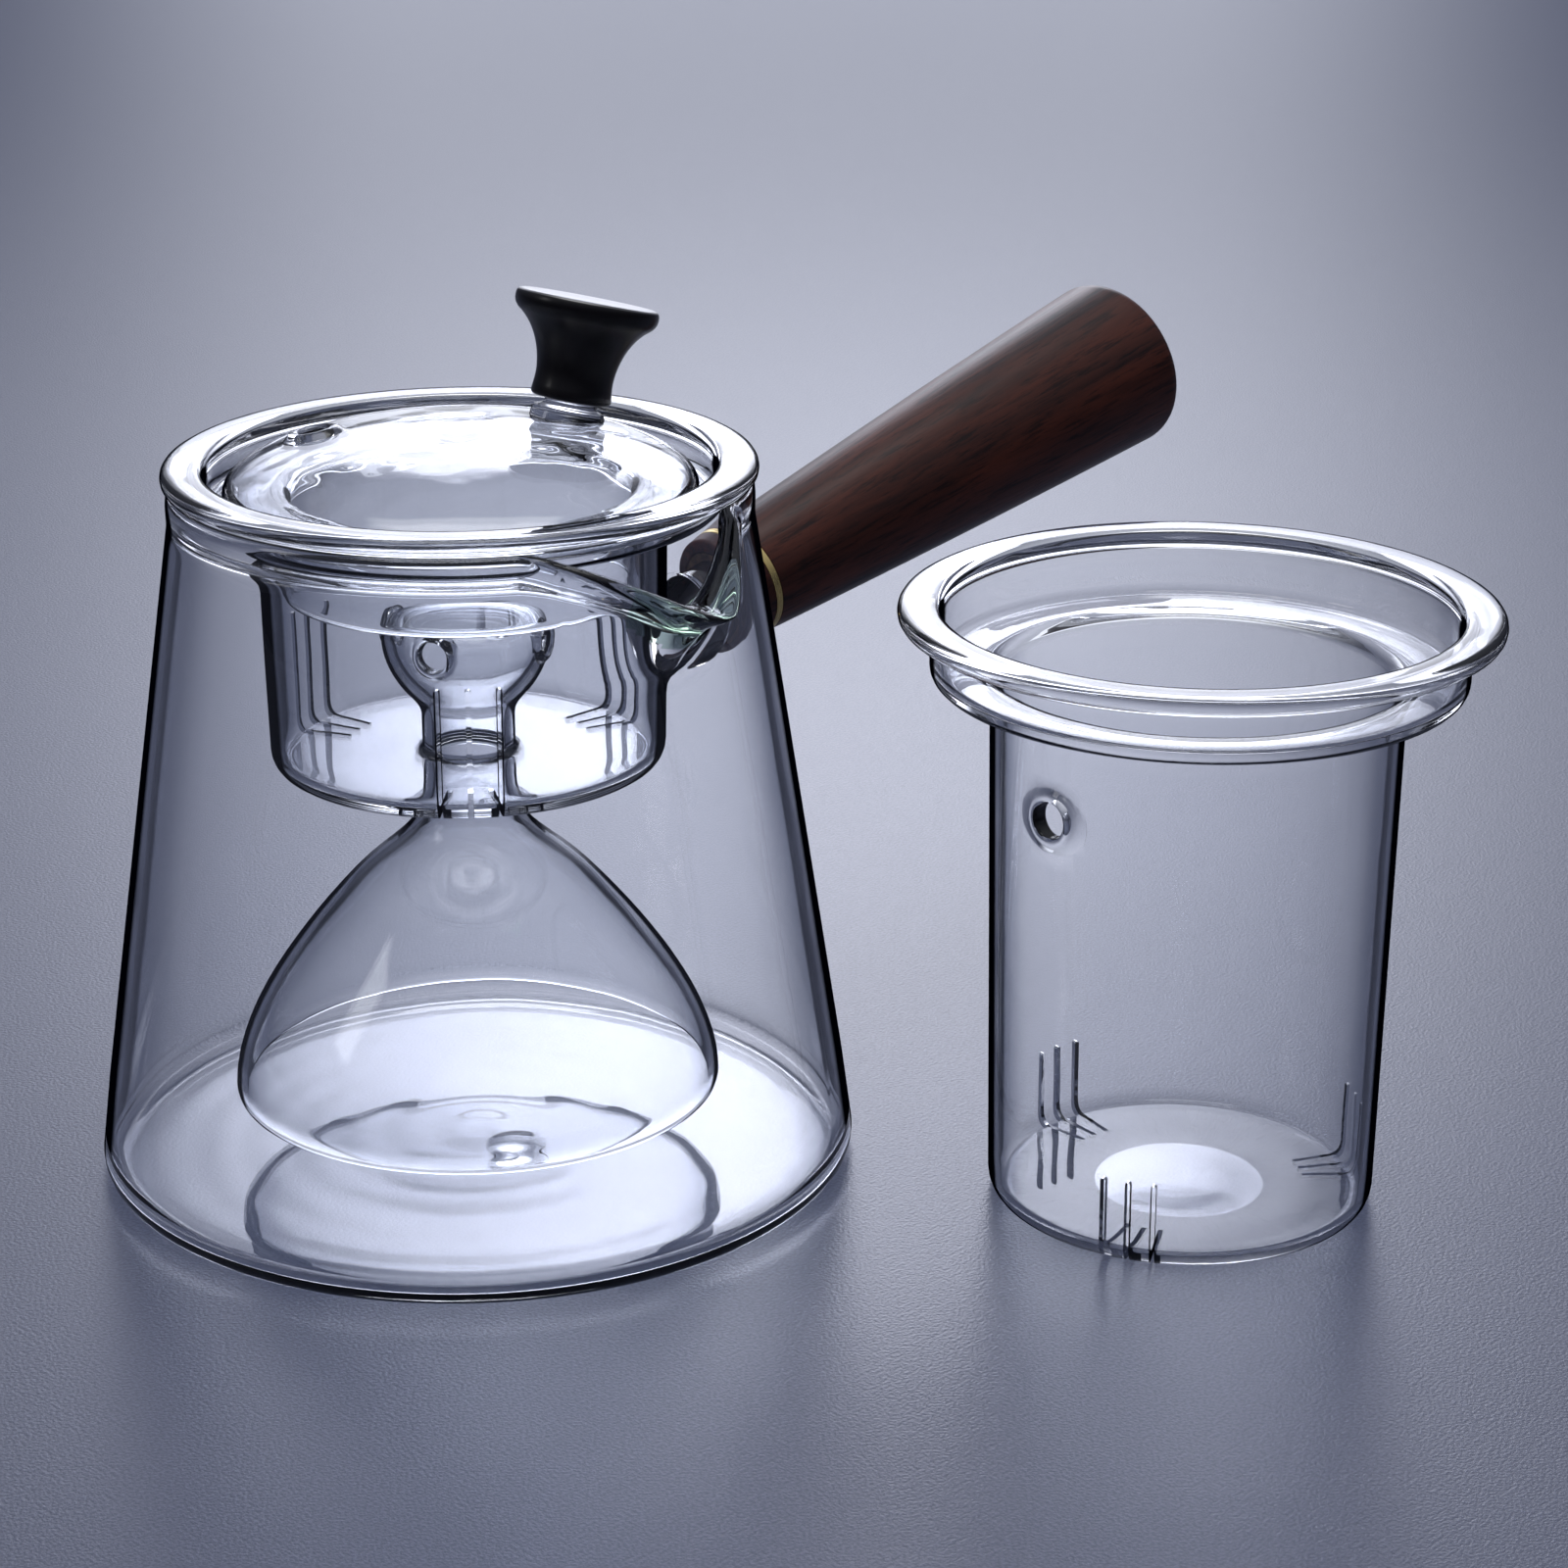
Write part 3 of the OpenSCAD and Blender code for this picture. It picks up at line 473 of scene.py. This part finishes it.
def slotTools(footR, low, high, step, direction, centre=(0, 0)):
    # one thin blade for each slot, from the floor's edge up the wall, with its top's edges rounded
    tools = []
    for g in range(slots["groups"]):
        for i in range(slots["count"]):
            a = radians(direction + g * 360 / slots["groups"] + (i - 1) * step)
            inner, outer = footR - slots["inset"] - slots["reach"], footR + slots["out"]
            bm = bmesh.new()
            bmesh.ops.create_cube(bm, size=1.0)
            bmesh.ops.scale(bm, verts=bm.verts,
                            vec=((outer - inner) * mm, slots["wide"] * mm, (high - low) * mm))
            bmesh.ops.translate(bm, verts=bm.verts,
                                vec=((outer + inner) / 2 * mm, 0, (high + low) / 2 * mm))
            ridges = [e for e in bm.edges if abs(e.verts[0].co.z - e.verts[1].co.z) < 1e-7
                      and abs(e.verts[0].co.x - e.verts[1].co.x) > mm
                      and e.verts[0].co.z > (high - 1) * mm]
            bmesh.ops.bevel(bm, geom=ridges, offset=slots["wide"] * slots["round"] * mm,
                            offset_type="OFFSET", segments=4, profile=0.5, affect="EDGES", material=-1)
            bmesh.ops.rotate(bm, cent=(0, 0, 0), matrix=Matrix.Rotation(a, 3, "Z"), verts=bm.verts)
            bmesh.ops.translate(bm, verts=bm.verts, vec=(centre[0] * mm, centre[1] * mm, 0))
            tools.append(toolFrom(bm))
    return tools


def makeInfuser():
    # cup, shoulder, basket and floor are one glass, open round the steam tube
    profile = outline(
        (7.62, 70.1), (22, 70.1, 4), (29.3, 70.1, 3), ((31.4, 70.1), (32.6, 71.2), (32.66, 73.4), 7),
        (33.0, 92.0, 8), (33.28, 111.6, 8), ((33.3, 112.7), (33.9, 113.2), (35.0, 113.2), 5),
        (40.6, 113.2, 3), ((42.2, 113.2), (43.0, 114.0), (43.0, 115.4), 6), (43.0, 117.2),
        ((43.0, 117.8), (43.4, 118.0), (44.0, 118.0), 4), (46.6, 118.0, 2),
        ((47.7, 118.0), (48.25, 118.7), (48.25, 119.5), 5),
        ((48.25, 120.4), (47.7, 121.0), (46.6, 121.0), 5),
        (43.0, 121.0, 3), ((41.9, 121.0), (41.3, 120.4), (41.3, 119.4), 5), (41.3, 116.6, 2),
        ((41.3, 115.5), (40.8, 114.9), (39.6, 114.9), 5), (34.0, 114.9, 4),
        ((32.4, 114.9), (31.6, 114.2), (31.6, 112.8), 6), (31.3, 92.0, 8), (31.05, 74.2, 8),
        ((31.0, 72.8), (30.4, 71.9), (28.8, 71.9), 6), (20, 71.9, 4), (9.4, 71.9, 3),
        ((8.2, 71.9), (7.7, 72.2), (7.62, 73.0), 4))
    glass = asPiece("infuserGlass", joinSeams(turned(profile, 160, closed=True)), flameGlass,
                    "steam_infuser", ("infuser_cup", "infuser_basket"))
    worked(glass, slotTools(32.6, 68.0, 92.4, 8.6, -130), "DIFFERENCE")
    refaced(glass, rimGlass, lambda x, y, z: z > 113.0)


makeInfuser()
print("infuser blown and slotted")

# out is from the axis to the middle of a hole, and tilt turns the holes upwards
steamHoles = {"r": 2.55, "z": 91.6, "out": 13.8, "tilt": 3, "first": 27, "count": 4}


def makeSteamTower():
    # the bell, its tube and the bulb are drawn from one tube and closed at the top
    profile = outline(
        (0, 97.0), ((8.2, 97.0), (13.9, 95.4), (13.9, 91.4), 18),
        ((13.9, 88.6), (12.8, 85.6), (10.7, 82.9), 12), ((9.3, 81.1), (7.8, 80.2), (7.7, 77.8), 10),
        (7.7, 66.0, 6), ((7.7, 57.5), (13.9, 55.9), (20.5, 48.8), 12),
        ((28.6, 40.0), (41.0, 24.7), (41.0, 13.5), 16), ((41.0, 12.3), (39.4, 12.3), (39.4, 13.5), 6),
        ((39.4, 24.2), (27.4, 38.8), (19.4, 47.6), 16), ((12.8, 54.6), (6.1, 56.6), (6.1, 66.0), 12),
        (6.1, 77.8, 6), ((6.2, 80.9), (8.1, 82.2), (9.5, 84.0), 10),
        ((11.4, 86.4), (12.4, 89.0), (12.4, 91.4), 12), ((12.4, 94.2), (7.4, 95.5), (0, 95.5), 18))
    glass = asPiece("steamTower", joinSeams(turned(profile, 128)), flameGlass, "steam_infuser",
                    ("steam_bulb", "steam_bell"))
    lips, holes = [], []
    for i in range(steamHoles["count"]):
        # the aim's Z runs outwards through the wall
        a = radians(steamHoles["first"] + 360 / steamHoles["count"] * i)
        aim = (Matrix.Rotation(a, 4, "Z")
               @ Matrix.Translation((steamHoles["out"] * mm, 0, steamHoles["z"] * mm))
               @ Matrix.Rotation(radians(90 - steamHoles["tilt"]), 4, "Y"))
        lip = turned(outline((2.4, -1.1), (2.4, 0.0, 2), ((2.4, 0.6), (3.0, 0.65), (3.35, 0.15), 6),
                             ((3.6, -0.2), (3.9, -0.6), (4.3, -1.0), 4), (4.2, -1.1)), 40, closed=True)
        lips.append(toolFrom(movedTo(joinSeams(lip), aim)))
        holes.append(toolFrom(movedTo(rod(steamHoles["r"], 10, 46),
                                      aim @ Matrix.Translation((0, 0, -5 * mm)))))
    worked(glass, lips, "UNION")
    worked(glass, holes, "DIFFERENCE")
    refaced(glass, bellGlass, lambda x, y, z: 14.0 < z < 56)


makeSteamTower()
print("steam bell, tube and bulb drawn")

# ventAt and knobAt are distances from the axis, and knobAt lies towards the handle
lid = {"seat": 114.9, "r": 38.5, "edge": 1.4, "domeH": 9.2, "wall": 1.9, "floor": 116.7, "skirtR": 29.4,
       "boreR": 27.8, "skirtFoot": 99.85, "ventAt": 24.9, "ventTurn": 122, "knobAt": 23.2,
       "knobLean": 15.5}
lid["domeZ"] = lid["seat"] + lid["edge"]


def domeZ(r):
    return lid["domeZ"] + lid["domeH"] * sqrt(1 - (r / lid["r"]) ** 2)


def domeLean(r):
    return atan(lid["domeH"] * r / lid["r"] / sqrt(lid["r"] ** 2 - r * r))


def domeCurve(wall, first, last, count):
    # points along the dome, brought in by the wall, between two angles above its edge
    points = []
    for i in range(count + 1):
        a = radians(first + (last - first) * i / count)
        flat, up = lid["domeH"] * cos(a), lid["r"] * sin(a)
        points.append((lid["r"] * cos(a) - wall * flat / hypot(flat, up),
                       lid["domeZ"] + lid["domeH"] * sin(a) - wall * up / hypot(flat, up)))
    return points


knobAxis = (Matrix.Translation((lid["knobAt"] * mm, 0, domeZ(lid["knobAt"]) * mm))
            @ Matrix.Rotation(radians(lid["knobLean"]), 4, "Y"))


def makeLid():
    seat, r, edge, floor, wall, bore = (lid[k] for k in ("seat", "r", "edge", "floor", "wall", "boreR"))
    foot, skirt, pull = lid["skirtFoot"], lid["skirtR"], lid["edge"] * 0.55
    outside = domeCurve(0, 90, 0, 40)
    profile = outline(
        (0, outside[0][1]), *outside[1:],
        ((r, seat + edge - pull), (r - edge + pull, seat), (r - edge, seat), 7),
        (skirt + 1.2, seat, 5), ((skirt + 0.5, seat), (skirt, seat - 0.5), (skirt, seat - 1.2), 5),
        (skirt, foot + 1.4, 8), ((skirt, foot + 0.4), (skirt - 0.3, foot), (skirt - 0.9, foot), 6),
        (0, foot))
    glass = asPiece("lidGlass", joinSeams(turned(profile, 144)), lidBlown, "lid",
                    ("lid_dome", "lid_skirt", "knob_stem"))
    ventAxis = (Matrix.Rotation(radians(lid["ventTurn"]), 4, "Z")
                @ Matrix.Translation((lid["ventAt"] * mm, 0, domeZ(lid["ventAt"]) * mm))
                @ Matrix.Rotation(domeLean(lid["ventAt"]), 4, "Y"))
    ring = turned(outline((2.4, -1.6), (2.4, 0.1), ((2.4, 1.1), (3.7, 1.2), (4.3, 0.7), 6),
                          ((4.8, 0.2), (5.1, -0.1), (5.7, -0.4), 4), (5.4, -1.6)), 48, closed=True)
    stem = turned(outline((0, -3.8), (6.6, -3.8), ((6.45, -2.4), (6.3, -0.9), (6.2, 0.1), 6),
                          ((6.15, 0.9), (5.9, 1.3), (4.9, 1.5), 5),
                          ((4.5, 1.6), (4.1, 2.0), (4.0, 2.6), 4), (4.0, 10.8, 5),
                          ((4.0, 11.2), (3.6, 11.5), (3.0, 11.5), 4), (0, 11.5)), 64)
    worked(glass, [toolFrom(movedTo(joinSeams(ring), ventAxis)),
                   toolFrom(movedTo(joinSeams(stem), knobAxis))], "UNION")
    # the dome runs round its edge into a ring, and the ring bends down into the skirt
    inside = domeCurve(wall, 13, 90, 36)
    (startR, startZ), topZ = inside[0], inside[-1][1]
    hollow = turned(outline(
        (0, foot - 1), (skirt - 0.6, foot - 1), (skirt - 0.9, foot),
        ((bore + 0.3, foot + 0.1), (bore, foot + 0.5), (bore, foot + 1.5), 5), (bore, floor - 1.4, 8),
        ((bore, floor - 0.6), (bore + 0.6, floor), (bore + 1.4, floor), 5), (startR - 0.9, floor, 4),
        ((startR - 0.4, floor), (startR, startZ - 0.3), inside[0], 4),
        *[p for p in inside[1:-1] if p[0] > 4],
        ((2.4, topZ), (2.0, topZ - 0.9), (0, topZ - 1.0), 7)), 144)
    vent = movedTo(rod(2.5, 9, 48), ventAxis @ Matrix.Translation((0, 0, -6 * mm)))
    worked(glass, [toolFrom(joinSeams(hollow)), toolFrom(vent)], "DIFFERENCE")


makeLid()

knobShape = {"base": 2.6, "topFrom": 16.5}  # along the stem, and from the base up


def makeKnob():
    b = knobShape["base"]
    profile = outline(
        (0, b + 10.4), (4.2, b + 10.4), (5.1, b + 9.4), (5.1, b + 0.3), (5.6, b),
        ((6.3, b), (6.7, b + 0.2), (6.75, b + 0.8), 4),
        ((6.5, b + 2.6), (6.4, b + 3.6), (6.5, b + 4.6), 5),
        ((6.8, b + 8.0), (8.2, b + 11.4), (10.7, b + 13.3), 12),
        ((11.6, b + 13.9), (12.0, b + 14.6), (12.0, b + 15.6), 5),
        ((12.0, b + 16.45), (11.8, b + 16.85), (11.0, b + 16.97), 5),
        ((8.0, b + 16.75), (4.0, b + 16.6), (0, b + 16.6), 6))
    turning = joinSeams(turned(profile, 96))
    for face in turning.faces:
        if face.calc_center_median().z > (b + knobShape["topFrom"]) * mm:
            face.material_index = 1
    knob = asPiece("knobTurning", movedTo(turning, knobAxis), knobWood, "lid", ("knob",))
    knob.data.materials.append(knobTop)


makeKnob()


def corked(node):
    # the cork sleeves keep their own solids
    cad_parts[node].data.materials.clear()
    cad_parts[node].data.materials.append(cork)


corked("knob_cork")
print("lid pressed and knob turned")

# start, ring, grip and end are along the handle's axis, and the belly swells the grip between its ends
handle = {"start": 60.1, "ring": 63.4, "grip": 64.8, "end": 167.5, "nearR": 9.85, "farR": 16.1,
          "belly": 0.3}


def gripR(d):
    u = (d - handle["start"]) / (handle["end"] - handle["start"])
    return handle["nearR"] + (handle["farR"] - handle["nearR"]) * u + handle["belly"] * 4 * u * (1 - u)


def onHandle(bm):
    return movedTo(joinSeams(bm), handleAxis)


def makeHandle():
    s, ring, grip, end = handle["start"], handle["ring"], handle["grip"], handle["end"]
    startR, ringR, nearR, farR = gripR(s), gripR(ring), gripR(grip), gripR(end)
    collar = turned(outline((7.5, ring), (7.5, s + 0.4), (7.9, s), (startR - 0.9, s),
                            ((startR - 0.3, s), (startR, s + 0.3), (startR, s + 0.9), 5),
                            (ringR, ring - 0.15), (ringR - 0.15, ring)), 96, closed=True)
    asPiece("handleCollar", onHandle(collar), gripWood, "pot", ("handle_collar",))
    band = turned(outline((7.5, ring), (ringR - 0.1, ring),
                          ((ringR + 0.05, ring), (ringR + 0.05, ring + 0.2), (ringR + 0.05, ring + 0.5), 4),
                          (ringR + 0.05, grip - 0.5),
                          ((nearR + 0.05, grip - 0.2), (nearR + 0.05, grip), (nearR - 0.1, grip), 4),
                          (7.5, grip)), 96, closed=True)
    asPiece("brassBand", onHandle(band), ringBrass, "pot", ("brass_ring",))
    stations = [grip + (end - 3 - grip) * i / 12 for i in range(1, 13)]
    side = [(gripR(d), d) for d in stations]
    wood = turned(outline((0, 92.3), (6.9, 92.3), (7.5, 91.7), (7.5, grip), (nearR - 0.2, grip),
                          (nearR, grip + 0.2), *side,
                          ((farR, end - 1.6), (farR - 0.5, end - 0.2), (farR - 2.6, end), 8),
                          ((farR - 7, end), (5, end - 0.35), (0, end - 0.4), 6)), 96)
    asPiece("handleGrip", onHandle(wood), gripWood, "pot", ("handle_grip",))


makeHandle()
corked("handle_sleeve")
print("handle turned")

# x and y are where it stands, and the vent turns from +X round Z
tall = {"x": 70.9, "y": -96.6, "ventZ": 73.5, "ventTurn": 177}


def makeTall():
    place = Matrix.Translation((tall["x"] * mm, tall["y"] * mm, 0))
    profile = outline(
        (0, 0.5), ((4, 0.5), (8, 0.1), (14, 0), 4), (28.4, 0, 4), ((30.8, 0), (31.9, 1.1), (32.0, 3.4), 7),
        (32.7, 50.0, 10), (33.28, 88.0, 10), ((33.3, 89.0), (33.9, 89.5), (35.0, 89.5), 5),
        (40.6, 89.5, 3), ((42.2, 89.5), (43.0, 90.3), (43.0, 91.8), 6), (43.0, 98.2, 3),
        ((43.0, 98.8), (43.4, 99.0), (44.0, 99.0), 4), (46.6, 99.0, 2),
        ((47.7, 99.0), (48.25, 99.7), (48.25, 100.5), 5), ((48.25, 101.4), (47.7, 102.0), (46.6, 102.0), 5),
        (43.0, 102.0, 3), ((41.9, 102.0), (41.3, 101.4), (41.3, 100.4), 5), (41.3, 93.0, 3),
        ((41.3, 91.8), (40.8, 91.2), (39.6, 91.2), 5), (34.0, 91.2, 4),
        ((32.4, 91.2), (31.6, 90.5), (31.6, 89.0), 6), (31.1, 50.0, 10), (30.4, 4.2, 10),
        ((30.35, 2.6), (29.6, 1.8), (28.2, 1.8), 6), (14, 1.8, 4), ((8, 1.8), (4, 2.3), (0, 2.3), 4))
    glass = asPiece("tallGlass", movedTo(joinSeams(turned(profile, 288)), place), tubeGlass,
                    "tall_infuser", ("tall_cup", "tall_tube"))
    aim = (place @ Matrix.Rotation(radians(tall["ventTurn"]), 4, "Z")
           @ Matrix.Translation((0, 0, tall["ventZ"] * mm)) @ Matrix.Rotation(pi / 2, 4, "Y"))
    flare = turned(outline((2.9, 31.9), (2.9, 33.1, 2), ((2.9, 33.8), (3.7, 34.0), (4.3, 33.7), 6),
                           ((5.0, 33.3), (5.8, 32.9), (7.0, 32.4), 6), (6.4, 31.9)), 56, closed=True)
    worked(glass, [toolFrom(movedTo(joinSeams(flare), aim))], "UNION")
    hole = toolFrom(movedTo(rod(2.95, 12, 56), aim @ Matrix.Translation((0, 0, 26 * mm))))
    worked(glass, [hole] + slotTools(32.0, -2.0, 14.8, 7.5, 84, (tall["x"], tall["y"])), "DIFFERENCE")
    refaced(glass, rimGlass, lambda x, y, z: z > 89.3)


makeTall()
print("spare infuser blown and slotted")

# table sizes in metres; the laminate's grain is drawn coarser than real
studio = {"table": "#636779", "fleck": "#545869", "width": 2.6, "near": -1.3, "far": 1.5, "grainMm": 0.6}
along = Matrix.Rotation(radians(45), 4, "Z")  # X runs away from the camera


# Satin laminate: cool grey with a fine fleck, and a soft mirror image of what stands on it.
def makeTable():
    near, far, half = studio["near"], studio["far"], studio["width"] / 2
    bm = bmesh.new()
    corners = ((near, -half, 0), (far, -half, 0), (far, half, 0), (near, half, 0))
    bm.faces.new([bm.verts.new(p) for p in corners])
    table = toolFrom(movedTo(bm, along), "table")
    material, tree = newMaterial("satin laminate table top")
    place = addNode(tree, "ShaderNodeTexCoord")
    grain = addNode(tree, "ShaderNodeTexNoise", None, Vector=(place, "Object"),
                    Scale=1 / (studio["grainMm"] * mm), Detail=2.0)
    bump = addNode(tree, "ShaderNodeBump", None, Height=(grain, "Fac"), Strength=0.8, Distance=0.0001)
    tone = addRamp(tree, (grain, "Fac"), studio["fleck"], studio["table"], 0.35, 0.65)
    card = addNode(tree, "ShaderNodeBsdfPrincipled", None, Base_Color=(tone, "Color"), Roughness=0.28,
                   IOR=1.45, Normal=(bump, "Normal"))
    addNode(tree, "ShaderNodeOutputMaterial", None, Surface=(card, "BSDF"))
    table.data.materials.append(material)


makeTable()


def softbox(name, place, target, size, glow, feather, colour="#ffffff"):
    # glow is how bright the cloth looks, where 1 is plain white, and the light fades out over the
    # feather, a share of the size, at each side
    data = bpy.data.lights.new(name, "AREA")
    data.shape = "RECTANGLE"
    data.size, data.size_y = size
    data.energy = glow * pi * size[0] * size[1]
    data.color = shade(colour)[:3]
    data.use_nodes = True
    tree = data.node_tree
    tree.nodes.clear()
    cloth = addNode(tree, "ShaderNodeNewGeometry")
    spread = addNode(tree, "ShaderNodeSeparateXYZ", None, Vector=(cloth, "Parametric"))
    fades = []
    for axis, width in zip("XY", feather):
        middle = addNode(tree, "ShaderNodeMath", {"operation": "SUBTRACT"}, _0=(spread, axis), _1=0.5)
        out = addNode(tree, "ShaderNodeMath", {"operation": "ABSOLUTE"}, _0=(middle, "Value"))
        fades.append(addNode(tree, "ShaderNodeMapRange", {"interpolation_type": "SMOOTHSTEP"},
                             Value=(out, "Value"), From_Min=0.5 - width, From_Max=0.5, To_Min=1.0,
                             To_Max=0.0))
    share = addNode(tree, "ShaderNodeMath", {"operation": "MULTIPLY"}, _0=(fades[0], "Result"),
                    _1=(fades[1], "Result"))
    shine = addNode(tree, "ShaderNodeEmission", None, Strength=(share, "Value"))
    addNode(tree, "ShaderNodeOutputLight", None, Surface=(shine, "Emission"))
    lamp = bpy.data.objects.new(name, data)
    scene.collection.objects.link(lamp)
    place, target = along @ Vector(place), along @ Vector(target)
    lamp.location = place
    lamp.rotation_euler = (target - place).to_track_quat("-Z", "Y").to_euler()
    lamp.visible_camera = False


# places are in metres, along the view, to the left of it and up
softbox("backPanel", (1.8, -0.06, 0.72), (0.0, -0.06, 0.72), (1.9, 0.72), 2.2, (0.36, 0.12), "#eef1ff")
softbox("middlePanel", (1.75, -0.07, 0.82), (0.0, -0.07, 0.82), (1.1, 0.96), 3.2, (0.46, 0.14), "#eef1ff")
softbox("lowPanel", (1.8, -0.05, 0.14), (0.0, -0.05, 0.14), (1.1, 0.46), 1.1, (0.3, 0.2), "#f2f5ff")
softbox("topSoftbox", (0.1, 0.0, 1.3), (0.0, 0.0, 0.0), (0.9, 0.9), 2.8, (0.15, 0.15))
softbox("leftSoftbox", (-0.3, 1.1, 0.75), (0, 0, 0.07), (0.3, 0.5), 2.4, (0.1, 0.1))

world = bpy.data.worlds.new("studio")
world.use_nodes = True
worldTree = world.node_tree
worldTree.nodes.clear()
air = addNode(worldTree, "ShaderNodeTexCoord")
split = addNode(worldTree, "ShaderNodeSeparateXYZ", None, Vector=(air, "Generated"))
fade = addRamp(worldTree, (split, "Z"), "#3c3f4c", "#c4c8d4")
fade.color_ramp.elements.new(0.35).color = shade("#6d7180")
sky = addNode(worldTree, "ShaderNodeBackground", None, Color=(fade, "Color"), Strength=1.0)
addNode(worldTree, "ShaderNodeOutputWorld", None, Surface=(sky, "Background"))
scene.world = world

# light has to get through many walls of glass
scene.cycles.max_bounces = 22
scene.cycles.transmission_bounces = 22
scene.cycles.diffuse_bounces = 3
scene.cycles.glossy_bounces = 6
scene.cycles.transparent_max_bounces = 40
print("studio lit")
